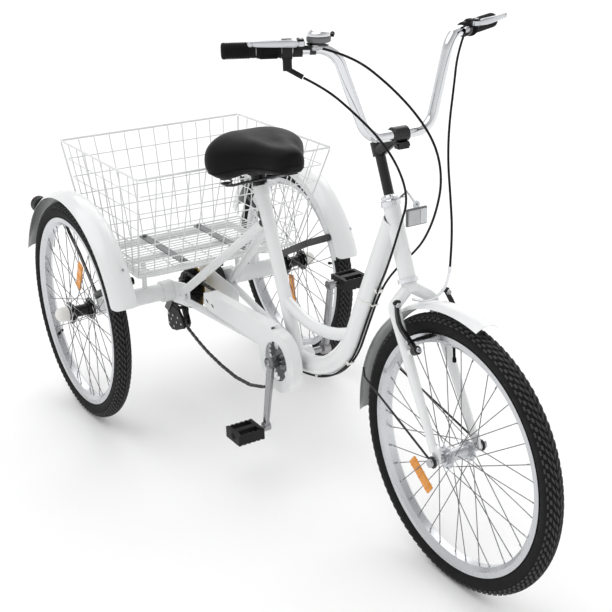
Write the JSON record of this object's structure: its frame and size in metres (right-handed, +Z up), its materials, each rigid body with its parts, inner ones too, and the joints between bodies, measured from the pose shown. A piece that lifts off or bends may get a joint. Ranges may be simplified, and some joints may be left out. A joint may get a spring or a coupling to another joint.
{
  "type": "adult tricycle",
  "caption": "Step-through adult tricycle with chain drive, cruiser handlebar, hand brakes, twist shifter, padded saddle and a wire cargo basket over the rear axle.",
  "frame": {"origin": "on the floor, under the middle of the tricycle's bounding box", "axes": "+X is forward towards the front wheel, +Y is the rider's left, +Z is up"},
  "size_m": [1.8237, 0.83, 1.1613],
  "materials": {
    "white_paint": "gloss",
    "black_metal": "satin",
    "silver_alloy": "satin",
    "chrome": "polished",
    "steel": "satin",
    "tyre": "matt",
    "grip_rubber": "matt",
    "black_plastic": "matt",
    "saddle_vinyl": "satin",
    "amber": "gloss",
    "dark_steel": "satin",
    "cable_black": "satin",
    "bell_chrome": "polished",
    "reflector_clear": "gloss"
  },
  "bodies": {
    "frame": {"head_tube": "white_paint", "down_tube": "white_paint", "seat_tube": "white_paint", "frame_brace": "white_paint", "bottom_bracket_shell": "white_paint", "rear_stays": "white_paint", "axle_housings": "white_paint", "bearing_cups": "chrome", "carrier_frame": "white_paint", "seat_clamp": "white_paint", "basket": "white_paint", "basket_straps": "dark_steel", "rear_fenders": "white_paint", "rear_fender_stays": "black_metal", "rear_reflectors": "black_plastic", "chain_guard": "white_paint", "chain": "dark_steel", "band_brake": "black_metal", "derailleur_base": "black_metal", "rear_brake_cable": "cable_black", "shift_cable": "cable_black", "cable_clips": "black_plastic"},
    "steering": {"fork": "white_paint", "front_axle": "steel", "stem": "black_metal", "handlebar": "chrome", "grips": "grip_rubber", "lever_brackets": "black_plastic", "bell": "bell_chrome", "front_fender": "white_paint", "front_fender_stays": "black_metal", "front_reflector": "reflector_clear", "front_brake_cable": "cable_black"},
    "front_wheel": {"front_tyre": "tyre", "front_rim": "silver_alloy", "front_wheel_reflector": "amber"},
    "rear_wheel_right": {"rear_tyre_right": "tyre", "rear_rim_right": "silver_alloy", "rear_hub_right": "black_metal", "rear_wheel_reflector_right": "amber"},
    "rear_wheel_left": {"rear_tyre_left": "tyre", "rear_rim_left": "silver_alloy", "rear_hub_left": "black_metal", "rear_wheel_reflector_left": "amber", "rear_axle": "steel"},
    "crank": {"crankset": "silver_alloy"},
    "pedal_right": {"pedal_right": "black_plastic"},
    "pedal_left": {"pedal_left": "black_plastic"},
    "cogs": {"cassette": "dark_steel"},
    "lever_right": {"brake_lever_right": "silver_alloy"},
    "lever_left": {"brake_lever_left": "silver_alloy"},
    "brake_right": {"v_brake_right": "black_metal"},
    "brake_left": {"v_brake_left": "black_metal"},
    "band_lever": {"brake_arm": "black_metal"},
    "shifter": {"twist_grip": "grip_rubber"},
    "derailleur": {"derailleur_arm": "black_metal"},
    "chain_cage": {"derailleur_cage": "black_metal"},
    "seat": {"seat_post": "black_metal", "saddle": "saddle_vinyl"},
    "bell_lever": {"bell_trigger": "black_plastic"}
  },
  "joints": [
    {"name": "steering_turn", "type": "hinge", "parent": "frame", "child": "steering", "pos_m": [0.431, 0, 0.639], "axis": [-0.3814, 0, 0.9244], "range_deg": [-40, 40], "deforming": ["rear_brake_cable", "shift_cable"]},
    {"name": "front_wheel_spin", "type": "hinge", "parent": "steering", "child": "front_wheel", "pos_m": [0.609, 0, 0.303], "axis": [0, 1, 0], "continuous": true},
    {"name": "rear_right_spin", "type": "hinge", "parent": "frame", "child": "rear_wheel_right", "pos_m": [-0.596, -0.345, 0.303], "axis": [0, 1, 0], "continuous": true},
    {"name": "rear_left_spin", "type": "hinge", "parent": "frame", "child": "rear_wheel_left", "pos_m": [-0.596, 0.345, 0.303], "axis": [0, 1, 0], "continuous": true},
    {"name": "crank_turn", "type": "hinge", "parent": "frame", "child": "crank", "pos_m": [-0.016, 0, 0.295], "axis": [0, 1, 0], "continuous": true},
    {"name": "cogs_turn", "type": "hinge", "parent": "frame", "child": "cogs", "pos_m": [-0.596, -0.017, 0.303], "axis": [0, 1, 0], "continuous": true},
    {"name": "pedal_right_spin", "type": "hinge", "parent": "crank", "child": "pedal_right", "pos_m": [0.0035, -0.171, 0.13619], "axis": [0, 1, 0], "continuous": true},
    {"name": "pedal_left_spin", "type": "hinge", "parent": "crank", "child": "pedal_left", "pos_m": [-0.0355, 0.171, 0.45381], "axis": [0, 1, 0], "continuous": true},
    {"name": "lever_right_pull", "type": "hinge", "parent": "steering", "child": "lever_right", "pos_m": [0.37019, -0.2143, 1.138], "axis": [0, 0, -1], "range_deg": [0, 15], "stiffness_Nm_per_rad": 1.5, "springref_deg": -8.59},
    {"name": "lever_left_pull", "type": "hinge", "parent": "steering", "child": "lever_left", "pos_m": [0.37019, 0.2143, 1.138], "axis": [0, 0, 1], "range_deg": [0, 15], "stiffness_Nm_per_rad": 1.5, "springref_deg": -8.59},
    {"name": "brake_right_close", "type": "hinge", "parent": "steering", "child": "brake_right", "pos_m": [0.52914, -0.0515, 0.52156], "axis": [-0.8743, 0, -0.4854], "range_deg": [0, 4.5]},
    {"name": "brake_left_close", "type": "hinge", "parent": "steering", "child": "brake_left", "pos_m": [0.52914, 0.0515, 0.52156], "axis": [0.8743, 0, 0.4854], "range_deg": [0, 4.5]},
    {"name": "band_lever_pull", "type": "hinge", "parent": "frame", "child": "band_lever", "pos_m": [-0.562, 0.09, 0.25], "axis": [0, -1, 0], "range_deg": [0, 12]},
    {"name": "shifter_twist", "type": "hinge", "parent": "steering", "child": "shifter", "pos_m": [0.31974, -0.2551, 1.124], "axis": [0.4453, 0.8954, 0], "range_deg": [-60, 60]},
    {"name": "derailleur_shift", "type": "slide", "parent": "frame", "child": "derailleur", "axis": [0, 1, 0], "range_m": [-0.015, 0.015]},
    {"name": "chain_cage_swing", "type": "hinge", "parent": "derailleur", "child": "chain_cage", "pos_m": [-0.626, -0.017, 0.228], "axis": [0, 1, 0], "range_deg": [-20, 0], "stiffness_Nm_per_rad": 0.3, "springref_deg": 11.46},
    {"name": "seat_height", "type": "slide", "parent": "frame", "child": "seat", "axis": [-0.373, 0, 0.9278], "range_m": [0, 0.08]},
    {"name": "bell_press", "type": "hinge", "parent": "steering", "child": "bell_lever", "pos_m": [0.3625, -0.13815, 1.146], "axis": [0, 0, 1], "range_deg": [0, 25], "stiffness_Nm_per_rad": 0.1, "springref_deg": -17.19}
  ],
  "couplings": [
    {"joint": "cogs_turn", "follows": "crank_turn", "ratio": 1.6},
    {"joint": "brake_right_close", "follows": "lever_left_pull", "ratio": 0.3},
    {"joint": "brake_left_close", "follows": "lever_left_pull", "ratio": 0.3},
    {"joint": "band_lever_pull", "follows": "lever_right_pull", "ratio": 0.8},
    {"joint": "derailleur_shift", "follows": "shifter_twist", "m_per_rad": 0.014324}
  ]
}
